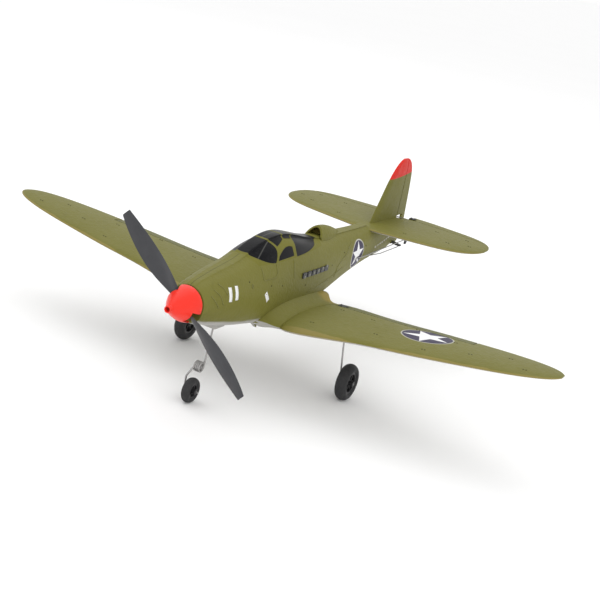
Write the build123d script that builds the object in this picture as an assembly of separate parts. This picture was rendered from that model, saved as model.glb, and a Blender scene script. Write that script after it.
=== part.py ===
from build123d import *
from math import atan, cos, pi, radians, sin, sqrt, tan
import os

# Radio-controlled foam airplane, millimetres.
# Drawn with X to the plane's left wing, Y aft from the spinner's tip and Z up
# from the thrust line. Each piece is put down on its wheels as it is written:
# the origin ends on the ground, under the middle of the plane.

# ---- overall sizes ----
HALF_SPAN = 201.0
LENGTH = 363.76             # spinner tip to elevator trailing edge
THRUST_HEIGHT = 69.5        # thrust line above the ground

# ---- clearances ----
FOAM_GAP = 0.3              # foam pocket round a piece that sits in it
RUN_FIT = 0.05              # shaft in its hole, on the radius
HINGE_GAP = 0.9             # slot at a foam control surface
THROW = 20.0                # control surfaces turn this far each way

# ---- fuselage: station, top, bottom, half width, height of widest point, upper power ----
FUSELAGE = [
    (21.5, 11.3, -11.3, 11.3, 0.0, 2.0),
    (30.0, 14.2, -13.8, 13.2, 0.0, 2.0),
    (45.0, 17.0, -17.0, 15.4, -0.5, 2.0),
    (60.0, 19.2, -19.9, 16.9, -1.0, 2.0),
    (74.0, 22.2, -22.1, 17.9, -1.5, 1.9),
    (80.0, 24.2, -22.9, 18.3, -1.5, 1.85),
    (92.0, 28.0, -24.6, 18.9, -2.0, 1.85),
    (106.0, 30.6, -26.3, 19.3, -2.0, 1.85),
    (122.0, 31.1, -27.6, 19.4, -2.0, 1.9),
    (142.0, 28.2, -28.3, 19.2, -2.0, 1.95),
    (165.0, 23.4, -27.4, 18.3, -1.5, 2.0),
    (190.0, 20.4, -24.0, 16.6, -0.5, 2.05),
    (225.0, 19.2, -17.5, 13.6, 1.5, 2.1),
    (260.0, 18.6, -12.2, 10.8, 3.0, 2.1),
    (300.0, 18.2, -9.0, 7.6, 4.0, 2.2),
    (338.0, 17.4, -6.0, 3.2, 5.0, 2.3),
]
SQUARE_DOWN = 2.4           # superellipse power below the widest point

# ---- canopy and scoop ----
CANOPY_FRONT = 76.0
CANOPY_REAR = 184.0
CANOPY_SIDE_FRONT = 93.0    # where the windscreen meets the door sill
CANOPY_SIDE_REAR = 158.0
CANOPY_SILL = 17.4
SCOOP_FRONT = 184.0
SCOOP_LENGTH = 42.0
SCOOP_HEIGHT = 6.9
SCOOP_WIDTH = 12.4
SCOOP_WALL = 1.0
STUB_COUNT = 6              # exhaust stubs a side
STUB_FIRST = (138.5, 4.8)   # station and height of the foremost stub
STUB_STEP = (7.6, -0.24)
STUB = (3.4, 5.4, 3.4)
STUB_SUNK = 1.2             # its middle lies this far inside the body's widest point

# ---- wing ----
WING_LE = 91.9              # leading edge at the centre line
WING_LE_SWEEP = 0.082
WING_TE = 188.4
WING_TE_SWEEP = -0.197
WING_TIP_Y = 128.5
WING_TIP_POWER = 10.0
WING_Z = -23.5
WING_DIHEDRAL = 0.119       # rise over span
WING_THICK = 0.088          # thickness over chord
WING_CAMBER = 0.018
TE_THICK = 0.9
AILERON_IN = 34.0
AILERON_OUT = 136.5
AILERON_CHORD = 11.5
AILERON_END_GAP = 1.0
SPAR_RADIUS = 1.0
SPAR_OUT = 150.0
SPAR_CHORD = 0.32
FILLET_REACH = 9.0          # how far the root fillet runs out along the wing
FILLET_RISE = 5.0
WING_ROOT = 9.8             # inner end of the wing foam, beside the hatch

# ---- tail ----
STAB_HALF = 83.4
STAB_LE = 272.3
STAB_LE_SWEEP = 0.221
STAB_TE = 364.1
STAB_TE_SWEEP = -0.094
STAB_TIP_Y = 323.9
STAB_TIP_POWER = 7.5
STAB_Z = 15.3
STAB_THICK = 0.056
ELEVATOR_HINGE = 348.0
ELEVATOR_ROOT = 8.6         # inner end of each elevator half
FIN_BASE = 17.6
FIN_TOP = 65.4
FIN_LE = 286.5
FIN_LE_SLOPE = 0.63
FIN_TE = 359.6              # at the base
FIN_TE_SLOPE = -0.17
FIN_TIP_Y = 333.5
FIN_TIP_POWER = 7.0
FIN_HALF_THICK = 2.4
FIN_ROOT_DEPTH = 3.6        # how far the fin's foam runs down to the tailplane
RUDDER_HINGE = 338.8
RUDDER_FRONT = 0.4          # foam starts this far behind the hinge line
RUDDER_BOTTOM = -5.2

# ---- drive ----
SPINNER_LENGTH = 20.0
SPINNER_RADIUS = 11.2
SPINNER_WALL = 1.0
SPINNER_TUBE = 2.1
SPINNER_HOLE = 1.5
PROP_RADIUS = 64.0
PROP_PLANE = 17.2
PROP_REST = 140.3           # angle of one blade, from the left wing upwards
PROP_PITCH = 62.0
BLADE_THICK = 1.3
HUB_RADIUS = 4.2
HUB_LENGTH = 6.0
SHAFT_RADIUS = 0.75
GEAR_MODULE = 0.4
SPUR_TEETH = 36
PINION_TEETH = 9
GEAR_WIDTH = 2.6
GEAR_FRONT = 38.0
BEARING_RADIUS = 2.0
BEARING_LENGTH = 2.0
TUBE_RADIUS = 3.0
FRAME_FRONT = 31.0
MOTOR_RADIUS = 4.25
MOTOR_FRONT = 43.5
MOTOR_LENGTH = 20.0
MOTOR_SHAFT = 0.5
GEAR_CENTRES = GEAR_MODULE * (SPUR_TEETH + PINION_TEETH) / 2

# ---- landing gear ----
WIRE = 0.6                  # radius of the leg wire
MAIN_X = 62.4
MAIN_Y = 145.8
MAIN_RADIUS = 12.5
MAIN_WIDTH = 8.0
MAIN_LEG_TOP = 51.8
MAIN_LEG_FOOT = 57.4
LEG_DEPTH = 3.4             # main leg wire inside its socket
NOSE_Y = 48.6
NOSE_RADIUS = 8.0
NOSE_WIDTH = 5.6
NOSE_LEG_TOP = (0.6, 61.0, -15.5)
NOSE_LEG_KNEE = (0.9, 59.4, -26.0)
MAIN_BEAD = 7.4
NOSE_BEAD = 4.6
COIL_Y = 53.6
COIL_Z = -47.0
COIL_RADIUS = 2.9
COLLAR_RADIUS = 1.7
COLLAR_LENGTH = 1.4
END_PLAY = 0.2              # hub to collar

# ---- radio gear ----
BATTERY = (15.6, 34.0, 7.2)
BATTERY_FRONT = 73.4
BATTERY_BOTTOM = -18.9
HATCH_FRONT = 72.0
HATCH_REAR = 108.0
HATCH_HALF = 9.0
HATCH_INSIDE = -19.3        # level inner face of the hatch
BOARD = (17.0, 30.0, 1.2)
BOARD_FRONT = 116.0
BOARD_Z = -8.6
CHIP_HEIGHT = 2.4
LEAD = 0.55                 # radius of an insulated lead
MOTOR_LEAD_Z = -8.4
SERVO = (8.0, 19.0, 6.6)
SERVO_FRONT = 160.0
SERVO_X = 5.0               # each tail servo beside the centre line
SLIDER = (2.6, 3.6, 1.7)
SLIDER_GAP = 0.15
SLIDER_PLACE = 9.0          # behind the servo's front
ROD = 0.4                   # radius of the pushrod wire
ROD_PLAY = 0.16             # round the wire in a horn slot
CHANNEL = 1.5               # radius of the rod channels in the foam
HORN_THICK = 1.0
ELEVATOR_ROD_Z = -1.2
ELEVATOR_ROD_X = 8.9        # beside its horn
ELEVATOR_HORN_X = 10.6
ELEVATOR_EXIT = (12.2, 256.0)
RUDDER_ROD_Z = -5.6
RUDDER_HORN_REACH = 8.6
RUDDER_EXIT = (9.4, 300.0)
AILERON_HORN_X = 38.0
AILERON_HORN_REACH = 7.0
AILERON_ROD_X = 36.3
WING_SERVO = (8.4, 15.0, 4.5)
WING_SERVO_FRONT = 133.0
WING_SERVO_BOTTOM = -21.2
WING_SLIDER_Y = 140.5
TAIL_WALL = 4.2             # foam round the hollow behind the servos
TAIL_HOLLOW = (190.0, 225.0, 260.0, 290.0)


def put(name, shape):
    """Write a piece where it stands on the ground."""
    placed = Pos(0, -LENGTH / 2, THRUST_HEIGHT) * shape
    export_step(placed, "parts/" + name + ".step")


def box(x0, x1, y0, y1, z0, z1):
    """Block between two corners."""
    middle = Pos((x0 + x1) / 2, (y0 + y1) / 2, (z0 + z1) / 2)
    return middle * Box(x1 - x0, y1 - y0, z1 - z0)


def bar(start, end, radius):
    """Round bar between two points."""
    run = Vector(*end) - Vector(*start)
    return Solid.make_cylinder(radius, run.length, Plane(origin=start, z_dir=run))


def along_y(radius, y0, y1, x=0.0, z=0.0):
    return bar((x, y0, z), (x, y1, z), radius)


def along_x(radius, x0, x1, y, z):
    return bar((x0, y, z), (x1, y, z), radius)


def wire_run(points, bend, radius):
    """Round wire through points, bent at each corner."""
    path = FilletPolyline(*points, radius=bend)
    start = Plane(origin=path @ 0, z_dir=path % 0)
    return sweep(start * Circle(radius), path=path)


def only_solids(shape):
    """The solids of a boolean result, as one solid or a compound."""
    found = shape.solids()
    return found[0] if len(found) == 1 else Compound(children=list(found))


def blend_height(station, column):
    """Straight-line value of a fuselage column at a station."""
    for low, high in zip(FUSELAGE, FUSELAGE[1:]):
        if station <= high[0]:
            share = (station - low[0]) / (high[0] - low[0])
            return low[column] + share * (high[column] - low[column])
    return FUSELAGE[-1][column]


# ---- fuselage ----
def half_section(station, top, bottom, half, middle, square_up):
    """Left half of a superellipse, closed on the centre plane."""
    points = []
    steps = 12
    for i in range(steps + 1):
        angle = -pi / 2 + pi * i / steps
        up = sin(angle) >= 0
        power = 2 / (square_up if up else SQUARE_DOWN)
        reach = (top - middle) if up else (middle - bottom)
        x = half * max(cos(angle), 0.0) ** power
        z = middle + reach * abs(sin(angle)) ** power * (1 if up else -1)
        points.append((x if 0 < i < steps else 0.0, station, z))
    skin = Spline(*points, tangents=[(1, 0, 0), (-1, 0, 0)])
    return make_face(Wire([skin, Line(points[-1], points[0])]))


def fuselage_half():
    return loft([half_section(*row) for row in FUSELAGE])


def canopy_outline():
    """Top view of the canopy: pointed windscreen, straight sills, round tail."""
    half = 24.0
    front = Spline((0, CANOPY_FRONT), (half * 0.55, CANOPY_FRONT + 6.5),
                   (half, CANOPY_SIDE_FRONT + 6), tangents=[(1, 0.1), (0.3, 1)])
    side = Line((half, CANOPY_SIDE_FRONT + 6), (half, CANOPY_SIDE_REAR - 8))
    rear = Spline((half, CANOPY_SIDE_REAR - 8), (half * 0.5, CANOPY_REAR - 9),
                  (0, CANOPY_REAR), tangents=[(-0.6, 1), (-1, 0.3)])
    left = [front, side, rear]
    right = [mirror(edge, about=Plane.YZ) for edge in left]
    return make_face(left + right)


def canopy_block():
    tall = 30.0
    return extrude(Pos(0, 0, CANOPY_SILL) * canopy_outline(), amount=tall, dir=(0, 0, 1))


def scoop_solid():
    """Air scoop: a raked open hood in front that fairs down into the back."""
    rows = ((0.0, 0.85, 1.0), (0.26, 1.0, 1.0), (0.6, 0.7, 0.8), (1.0, 0.05, 0.25))
    base = blend_height(SCOOP_FRONT + SCOOP_LENGTH, 1) - 4.0
    faces = []
    hole = []
    for share, high, wide in rows:
        station = SCOOP_FRONT + share * SCOOP_LENGTH
        top = blend_height(station, 1) + SCOOP_HEIGHT * high
        half = SCOOP_WIDTH / 2 * wide
        faces.append(hood_face(station, base, top, half))
        hole.append(hood_face(station, base, top - SCOOP_WALL, half - SCOOP_WALL))
    deck = blend_height(SCOOP_FRONT, 1)
    lip = deck + SCOOP_HEIGHT + 2.0
    rake = plate_across([(SCOOP_FRONT - 1.0, deck - 1.5), (SCOOP_FRONT + 7.0, lip),
                         (SCOOP_FRONT - 1.0, lip)], 0.0, 2 * SCOOP_WIDTH)
    return loft(faces) - loft(hole[:2]) - rake


def hood_face(station, base, top, half):
    """Upright section with a round top."""
    radius = min(half, top - base - 0.2)
    shoulder = top - radius * 0.8
    arch = Spline((half, station, base), (half, station, shoulder - 1.0), (0, station, top),
                  (-half, station, shoulder - 1.0), (-half, station, base))
    return make_face(Wire([arch, Line((-half, station, base), (half, station, base))]))


# ---- wing and tail surfaces ----
def tip_share(place, end, power):
    """How far a tip has closed: none inboard, all of it at the end."""
    return 1 - sqrt(max(0.0, 1 - (place / end) ** power))


def wing_edges(x):
    close = tip_share(x, HALF_SPAN, WING_TIP_POWER)
    lead = (WING_LE + WING_LE_SWEEP * x) * (1 - close) + WING_TIP_Y * close
    trail = (WING_TE + WING_TE_SWEEP * x) * (1 - close) + WING_TIP_Y * close
    return lead, trail


def stab_edges(x):
    close = tip_share(x, STAB_HALF, STAB_TIP_POWER)
    lead = (STAB_LE + STAB_LE_SWEEP * x) * (1 - close) + STAB_TIP_Y * close
    trail = (STAB_TE + STAB_TE_SWEEP * x) * (1 - close) + STAB_TIP_Y * close
    return lead, trail


def thickness_form(share):
    """Half thickness of a low-drag section over its full thickness."""
    return 5 * (0.2969 * sqrt(share) - 0.126 * share - 0.3516 * share ** 2
                + 0.2843 * share ** 3 - 0.1036 * share ** 4)


def camber_form(share):
    return 4 * share * (1 - share)


def section_face(x, lead, trail, z, thick, camber):
    """Airfoil section at one span place, with a blunt trailing edge."""
    chord = trail - lead
    blunt = min(TE_THICK, chord * thick * 0.5) / 2
    shares = [1 - cos(pi / 2 * i / 8) for i in range(8, 0, -1)]
    upper = []
    lower = []
    for share in shares:
        half = max(chord * thick * thickness_form(share), 0.0) + blunt * share
        middle = z + chord * camber * camber_form(share)
        upper.append((x, lead + share * chord, middle + half))
        lower.append((x, lead + share * chord, middle - half))
    points = upper + [(x, lead, z)] + lower[::-1]
    return make_face(Wire([Spline(*points), Line(points[-1], points[0])]))


def wing_thickness(x):
    """Section thickness: fuller at the root, thin at the tip."""
    return WING_THICK * (1 - 0.12 * x / HALF_SPAN)


def wing_loft():
    rows = []
    for x in (WING_ROOT, 30.0, 70.0, 110.0, 145.0, 168.0, 182.0, 191.0, 197.0, HALF_SPAN - 0.6):
        lead, trail = wing_edges(x)
        height = WING_Z + WING_DIHEDRAL * x
        rows.append(section_face(x, lead, trail, height, wing_thickness(x), WING_CAMBER))
    return loft(rows)


def root_fillet():
    """Swelling of the foam where the wing runs into the body side."""
    rows = []
    side = 12.0
    reach = 20.0 + FILLET_REACH
    for x, swell in ((side, 1.0), (18.0, 0.75), (23.0, 0.3), (reach, 0.0)):
        lead, trail = wing_edges(x)
        chord = trail - lead
        height = WING_Z + WING_DIHEDRAL * x
        thick = wing_thickness(x) + 2 * swell * FILLET_RISE / chord
        back = trail + 14.0 * swell ** 2
        rows.append(section_face(x, lead + 1.0, back, height + swell * FILLET_RISE * 0.5,
                                 thick, WING_CAMBER))
    return loft(rows)


def stab_loft():
    left = []
    for x in (0.0, 20.0, 40.0, 58.0, 70.0, 77.0, 81.0, STAB_HALF - 0.5):
        lead, trail = stab_edges(x)
        left.append(section_face(x, lead, trail, STAB_Z, STAB_THICK, 0.0))
    half = loft(left)
    return half + mirror(half, about=Plane.YZ)


def prism(points, z0, z1):
    """Upright block on a plan outline."""
    outline = make_face(Polyline(*points, close=True))
    return extrude(Pos(0, 0, z0) * outline, amount=z1 - z0, dir=(0, 0, 1))


def aileron_hinge(x):
    return WING_TE + WING_TE_SWEEP * x - AILERON_CHORD


def aileron_area(inner, outer, forward):
    """Plan outline behind the hinge line, which starts forward of it."""
    far = 260.0
    return prism([(inner, aileron_hinge(inner) - forward), (outer, aileron_hinge(outer) - forward),
                  (outer, far), (inner, far)], -60, 40)


def fin_edges(z):
    close = tip_share(max(z - FIN_BASE, 0.0), FIN_TOP - FIN_BASE, FIN_TIP_POWER)
    lead = (FIN_LE + FIN_LE_SLOPE * (z - FIN_BASE)) * (1 - close) + FIN_TIP_Y * close
    trail = (FIN_TE + FIN_TE_SLOPE * (z - FIN_BASE)) * (1 - close) + FIN_TIP_Y * close
    return lead, trail


def fin_half_thick(z):
    close = tip_share(max(z - FIN_BASE, 0.0), FIN_TOP - FIN_BASE, FIN_TIP_POWER)
    taper = 1 - 0.35 * max(z - FIN_BASE, 0.0) / (FIN_TOP - FIN_BASE)
    return FIN_HALF_THICK * taper * (1 - 0.6 * close)


def fin_face(z):
    """Section of fin and rudder together, drawn level."""
    lead, trail = fin_edges(z)
    chord = trail - lead
    half = fin_half_thick(z)
    blunt = 0.4
    shape = [(0.0, 0.0), (0.04, 0.5), (0.2, 0.93), (0.4, 1.0), (0.7, 0.72)]
    right = [(half * wide, lead + share * chord, z) for share, wide in shape]
    left = [(-x, y, z) for x, y, _ in right[1:]]
    tail_right = (blunt, trail, z)
    tail_left = (-blunt, trail, z)
    points = [tail_left] + left[::-1] + right + [tail_right]
    return make_face(Wire([Spline(*points), Line(tail_right, tail_left)]))


def fin_loft():
    heights = (FIN_BASE - FIN_ROOT_DEPTH, FIN_BASE, 32.0, 46.0, 55.0, 60.0, 63.2, FIN_TOP - 0.4)
    return loft([fin_face(z) for z in heights])


def rudder_foot():
    """Rudder below the tailplane, wedge shaped, with a round lower corner."""
    top = FIN_BASE - FIN_ROOT_DEPTH
    front = RUDDER_HINGE + RUDDER_FRONT
    trail = fin_edges(FIN_BASE)[1]
    side = Spline((0, trail + 0.3, top), (0, trail - 1.0, top - 9.0), (0, front + 11, RUDDER_BOTTOM),
                  tangents=[(0, 0.1, -1), (0, -1, -0.1)])
    outline = make_face([side, Line((0, front + 11, RUDDER_BOTTOM), (0, front, RUDDER_BOTTOM)),
                         Line((0, front, RUDDER_BOTTOM), (0, front, top)),
                         Line((0, front, top), (0, trail + 0.3, top))])
    slab = extrude(outline, amount=6, dir=(1, 0, 0), both=True)
    half = fin_half_thick(FIN_BASE) * 0.82
    wedge = prism([(-half, front), (half, front), (0.4, trail + 1), (-0.4, trail + 1)], -20, 40)
    return slab & wedge


# ---- drive ----
def spinner_solid():
    """Turned hollow cone with a nose tube and a slot for each blade."""
    tube_end = 2.4
    outer = Spline((SPINNER_TUBE + 0.1, tube_end), (6.0, 8.0), (9.1, 13.6),
                   (SPINNER_RADIUS, SPINNER_LENGTH), tangents=[(0.66, 1), (0.12, 1)])
    profile = make_face([
        Line((SPINNER_HOLE, 0), (SPINNER_TUBE, 0)),
        Line((SPINNER_TUBE, 0), (SPINNER_TUBE + 0.1, tube_end)), outer,
        Line((SPINNER_RADIUS, SPINNER_LENGTH), (SPINNER_RADIUS - SPINNER_WALL, SPINNER_LENGTH)),
        Spline((SPINNER_RADIUS - SPINNER_WALL, SPINNER_LENGTH), (8.2, 14.0), (5.0, 8.8)),
        Line((5.0, 8.8), (3.2, 8.8)), Line((3.2, 8.8), (3.2, PROP_PLANE - HUB_LENGTH / 2)),
        Line((3.2, PROP_PLANE - HUB_LENGTH / 2), (MOTOR_SHAFT + 0.15, PROP_PLANE - HUB_LENGTH / 2)),
        Line((MOTOR_SHAFT + 0.15, PROP_PLANE - HUB_LENGTH / 2), (MOTOR_SHAFT + 0.15, 6.0)),
        Line((MOTOR_SHAFT + 0.15, 6.0), (SPINNER_HOLE, 6.0)), Line((SPINNER_HOLE, 6.0), (SPINNER_HOLE, 0)),
    ])
    body = revolve(profile, Axis.Y)
    slot_width = 9.0
    slot = box(5.2, 15, PROP_PLANE - 3.4, SPINNER_LENGTH + 1, -slot_width / 2, slot_width / 2)
    for turn in (0, 180):
        body = body - Rot(0, turn, 0) * slot
    return body


def blade_face(radius, chord, offset):
    """Blade section square to its length: hollow back, cambered front, thin edges."""
    pitch = atan(PROP_PITCH / (2 * pi * max(radius, 10.0)))
    edge = chord / 2
    depth = BLADE_THICK * (1 - 0.5 * radius / PROP_RADIUS)

    def place(across, up):
        y = PROP_PLANE - across * sin(pitch) - up * cos(pitch)
        return radius, y, offset + across * cos(pitch) - up * sin(pitch)

    front = [place(-edge, 0), place(-edge * 0.4, depth * 0.62), place(edge * 0.4, depth * 0.66),
             place(edge, 0.1)]
    back = [place(edge, -0.15), place(0, -depth * 0.35), place(-edge, -0.15)]
    return make_face(Wire([Spline(*front), Line(front[-1], back[0]), Spline(*back),
                           Line(back[-1], front[0])]))


def blade():
    """Twisted blade along +X: radius, chord and offset of each section."""
    rows = ((2.4, 4.2, 0.0), (9.0, 5.6, 0.0), (18.0, 8.4, 0.3), (30.0, 11.0, 0.6),
            (42.0, 10.9, 0.5), (54.0, 8.6, 0.0), (PROP_RADIUS - 0.6, 5.4, -0.8))
    return loft([blade_face(*row) for row in rows])


def propeller_solid():
    hub = along_y(HUB_RADIUS, PROP_PLANE - HUB_LENGTH / 2, PROP_PLANE + HUB_LENGTH / 2)
    whole = hub + blade() + Rot(0, 180, 0) * blade()
    return whole - along_y(SHAFT_RADIUS, 0, 30)


def gear_solid(teeth, front, x, z, phase, bore):
    """Spur gear with straight-sided teeth."""
    pitch = GEAR_MODULE * teeth / 2
    tip = pitch + 0.85 * GEAR_MODULE
    root = pitch - 1.15 * GEAR_MODULE
    play = 0.86
    at_pitch = play * pi / (2 * teeth)
    lean = tan(radians(20))
    at_tip = at_pitch - lean * (tip - pitch) / tip
    at_root = at_pitch + lean * (pitch - root) / pitch
    points = []
    for tooth in range(teeth):
        centre = radians(phase) + 2 * pi * tooth / teeth
        for radius, turn in ((root, -at_root), (pitch, -at_pitch), (tip, -at_tip),
                             (tip, at_tip), (pitch, at_pitch), (root, at_root)):
            angle = centre + turn
            points.append((x + radius * cos(angle), front, z + radius * sin(angle)))
    blank = extrude(make_face(Polyline(*points, close=True)), amount=GEAR_WIDTH, dir=(0, 1, 0))
    return blank - along_y(bore, front - 1, front + GEAR_WIDTH + 1, x, z)


def gearbox_solid():
    """Front plate with its bearing tube, two side webs and a motor clamp."""
    plate_back = FRAME_FRONT + 1.6
    tube = along_y(TUBE_RADIUS, FUSELAGE[0][0] + 0.8, plate_back + 2.4)
    plate = along_y(9.8, FRAME_FRONT, plate_back)
    clamp_back = MOTOR_FRONT + 6.5
    low = -GEAR_CENTRES - MOTOR_RADIUS - 0.9
    clamp = box(-9.8, 9.8, MOTOR_FRONT - 1.2, clamp_back, -GEAR_CENTRES - 2.6, -GEAR_CENTRES + 4.6)
    ring = along_y(-GEAR_CENTRES - low, MOTOR_FRONT - 1.2, clamp_back, 0, -GEAR_CENTRES)
    body = tube + plate + clamp + ring
    for side in (-1, 1):
        x0, x1 = sorted((side * 8.6, side * 9.8))
        body = body + box(x0, x1, plate_back - 0.5, MOTOR_FRONT, -6.4, 1.0)
    body = body - along_y(MOTOR_RADIUS, MOTOR_FRONT, clamp_back + 1, 0, -GEAR_CENTRES)
    body = body - along_y(MOTOR_SHAFT + 1.2, MOTOR_FRONT - 2, clamp_back, 0, -GEAR_CENTRES)
    body = body - along_y(SHAFT_RADIUS + 0.25, 0, GEAR_FRONT)
    for front in bearing_places():
        body = body - along_y(BEARING_RADIUS, front, front + BEARING_LENGTH)
    return body


def bearing_places():
    return (FUSELAGE[0][0] + 0.8, FRAME_FRONT + 4.0 - BEARING_LENGTH)


def bearings():
    rings = []
    for front in bearing_places():
        ring = along_y(BEARING_RADIUS, front, front + BEARING_LENGTH)
        rings.append(ring - along_y(SHAFT_RADIUS + RUN_FIT / 2, 0, 60))
    return Compound(children=rings)


def motor_can():
    can = along_y(MOTOR_RADIUS, MOTOR_FRONT, MOTOR_FRONT + MOTOR_LENGTH, 0, -GEAR_CENTRES)
    return can - along_y(MOTOR_SHAFT + RUN_FIT, MOTOR_FRONT - 1, MOTOR_FRONT + 4, 0, -GEAR_CENTRES)


# ---- landing gear ----
def tyre(x, y, z, radius, width, bead):
    """Soft tyre with a round tread, turned about its axle."""
    shoulder = width / 2
    half = Spline((bead, -shoulder * 0.72), (radius * 0.8, -shoulder), (radius, 0),
                  (radius * 0.8, shoulder), (bead, shoulder * 0.72))
    profile = make_face([half, Line((bead, shoulder * 0.72), (bead, -shoulder * 0.72))])
    turned = revolve(profile, Axis.Y)
    return Pos(x, y, z) * Rot(0, 0, 90) * turned


def hub(x, y, z, bead, width, axle):
    """Spoked hub: rim, centre boss, web with round holes."""
    rim_wall = bead * 0.16
    boss = axle + 1.1
    wide = width * 0.72
    rim = along_x(bead, -wide / 2, wide / 2, 0, 0) - along_x(bead - rim_wall, -wide, wide, 0, 0)
    web = along_x(bead - rim_wall, -wide * 0.16, wide * 0.16, 0, 0)
    holes = 6
    reach = (bead - rim_wall + boss) / 2
    size = (bead - rim_wall - boss) * 0.34
    for i in range(holes):
        angle = 2 * pi * i / holes
        web = web - along_x(size, -wide, wide, reach * cos(angle), reach * sin(angle))
    centre = along_x(boss, -hub_end(width), hub_end(width), 0, 0)
    body = rim + web + centre
    for i in range(holes):
        angle = 360 * (i + 0.5) / holes
        rib = box(-wide * 0.36, wide * 0.36, -0.35, 0.35, boss * 0.8, bead - rim_wall * 0.5)
        body = body + Rot(angle, 0, 0) * rib
    body = body - along_x(axle + RUN_FIT, -width, width, 0, 0)
    return Pos(x, y, z) * body


def main_leg():
    axle = MAIN_RADIUS - THRUST_HEIGHT
    points = [main_leg_top(), (MAIN_LEG_FOOT, MAIN_Y, axle), (MAIN_X + MAIN_WIDTH / 2 + 1.2, MAIN_Y, axle)]
    return wire_run(points, 1.2, WIRE)


def main_leg_top():
    return MAIN_LEG_TOP, MAIN_Y, wing_skins(MAIN_LEG_TOP, MAIN_Y)[0] + LEG_DEPTH


def nose_leg():
    """Straight wire, a spring coil across the plane, then a crank to the axle."""
    axle = NOSE_RADIUS - THRUST_HEIGHT
    back = (1.5, COIL_Y + COIL_RADIUS * 0.98, COIL_Z)
    front = (-2.0, COIL_Y - COIL_RADIUS * 0.98, COIL_Z)
    upper = wire_run([NOSE_LEG_TOP, NOSE_LEG_KNEE, back], 20.0, WIRE)
    knee = (-4.6, NOSE_Y - 0.6, COIL_Z - 6.5)
    lower = wire_run([front, knee, (-4.6, NOSE_Y, axle), (NOSE_WIDTH / 2 + 2.6, NOSE_Y, axle)],
                     1.3, WIRE)
    leg = upper + lower
    turns = 4
    for i in range(turns):
        x = 1.5 - 3.5 * i / (turns - 1)
        ring = Solid.make_torus(COIL_RADIUS, WIRE, Plane(origin=(x, COIL_Y, COIL_Z), z_dir=(1, 0, 0)))
        leg = leg + ring
    return leg


def hub_end(width):
    """Half length of a hub's centre boss."""
    return width * 0.36 + 0.3


def collars():
    """Push-on collars that keep the wheels on the axles."""
    main_x = MAIN_X + hub_end(MAIN_WIDTH) + END_PLAY
    nose_x = hub_end(NOSE_WIDTH) + END_PLAY
    found = []
    for x, y, radius in ((main_x, MAIN_Y, MAIN_RADIUS), (-main_x - COLLAR_LENGTH, MAIN_Y, MAIN_RADIUS),
                         (nose_x, NOSE_Y, NOSE_RADIUS)):
        z = radius - THRUST_HEIGHT
        ring = along_x(COLLAR_RADIUS, x, x + COLLAR_LENGTH, y, z)
        found.append(ring - along_x(WIRE, x - 1, x + COLLAR_LENGTH + 1, y, z))
    return Compound(children=found)


def wing_skins(x, y):
    """Heights of the wing's lower and upper skin."""
    lead, trail = wing_edges(x)
    share = (y - lead) / (trail - lead)
    middle = wing_mid(x, share)
    half = (trail - lead) * wing_thickness(x) * thickness_form(share) + TE_THICK / 2 * share
    return middle - half, middle + half


def wing_mid(x, share):
    lead, trail = wing_edges(x)
    chord = trail - lead
    return WING_Z + WING_DIHEDRAL * x + chord * WING_CAMBER * camber_form(share)


def stab_skins(x, y):
    """Heights of the tailplane's lower and upper skin."""
    lead, trail = stab_edges(x)
    share = (y - lead) / (trail - lead)
    half = (trail - lead) * STAB_THICK * thickness_form(share) + TE_THICK / 2 * share
    return STAB_Z - half, STAB_Z + half


# ---- control linkage ----
def slot_length(reach):
    """How far a sideways-fixed pin moves out along its horn at full throw."""
    return reach * (1 / cos(radians(THROW)) - 1) + ROD + ROD_PLAY


def plate_across(points, x, thick):
    """Flat plate standing in the YZ plane, centred on x."""
    outline = make_face(Polyline(*[(x - thick / 2, y, z) for y, z in points], close=True))
    return extrude(outline, amount=thick, dir=(1, 0, 0))


def surface_horn(x, hinge_y, hinge_z, reach, skins, foot):
    """Slotted horn under a surface, its foot plate, two pins and the plate on top."""
    low, top = skins
    pin_z = hinge_z - reach
    half = ROD + ROD_PLAY
    end = pin_z - slot_length(reach) - 1.0
    root = low - 0.2
    arm = plate_across([(hinge_y + 1.2, root), (hinge_y + 6.0, root), (hinge_y + 1.7, end),
                        (hinge_y - 1.7, end), (hinge_y - 1.7, pin_z + 1.8)], x, HORN_THICK)
    arm = arm - box(x - 2, x + 2, hinge_y - half, hinge_y + half, pin_z - slot_length(reach), pin_z + half)
    x0, x1 = x - foot[0], x + foot[1]
    horn = arm + box(x0, x1, hinge_y + 1.0, hinge_y + 6.0, low - 0.7, low + 0.3)
    horn = horn + box(x0, x1, hinge_y + 1.0, hinge_y + 6.0, top - 0.3, top + 0.7)
    for pin_x in (x0 + 0.9, x1 - 0.9):
        horn = horn + bar((pin_x, hinge_y + 3.4, low - 1.0), (pin_x, hinge_y + 3.4, top + 1.1), 0.6)
    return horn


def rudder_horn():
    """Flat slotted arm from the rudder's side out beside the hinge line."""
    low = RUDDER_ROD_Z + ROD + 0.5
    reach = RUDDER_HORN_REACH
    half = ROD + ROD_PLAY
    y = RUDDER_HINGE
    points = [(0.4, y + 1.6), (0.4, y + 8.0), (reach + 1.9, y + 1.7), (reach + 1.9, y - 1.7),
              (reach - 1.7, y - 1.7)]
    arm = prism(points, low, low + HORN_THICK)
    return arm - box(reach - half, reach + slot_length(reach), y - half, y + half, low - 1, low + 3)


def bent_rod(points, radius):
    """Wire along straight runs with a round knuckle at every corner."""
    rod = bar(points[0], points[1], radius)
    for first, second in zip(points[1:], points[2:]):
        rod = rod + Pos(*first) * Sphere(radius) + bar(first, second, radius)
    return rod


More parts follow.
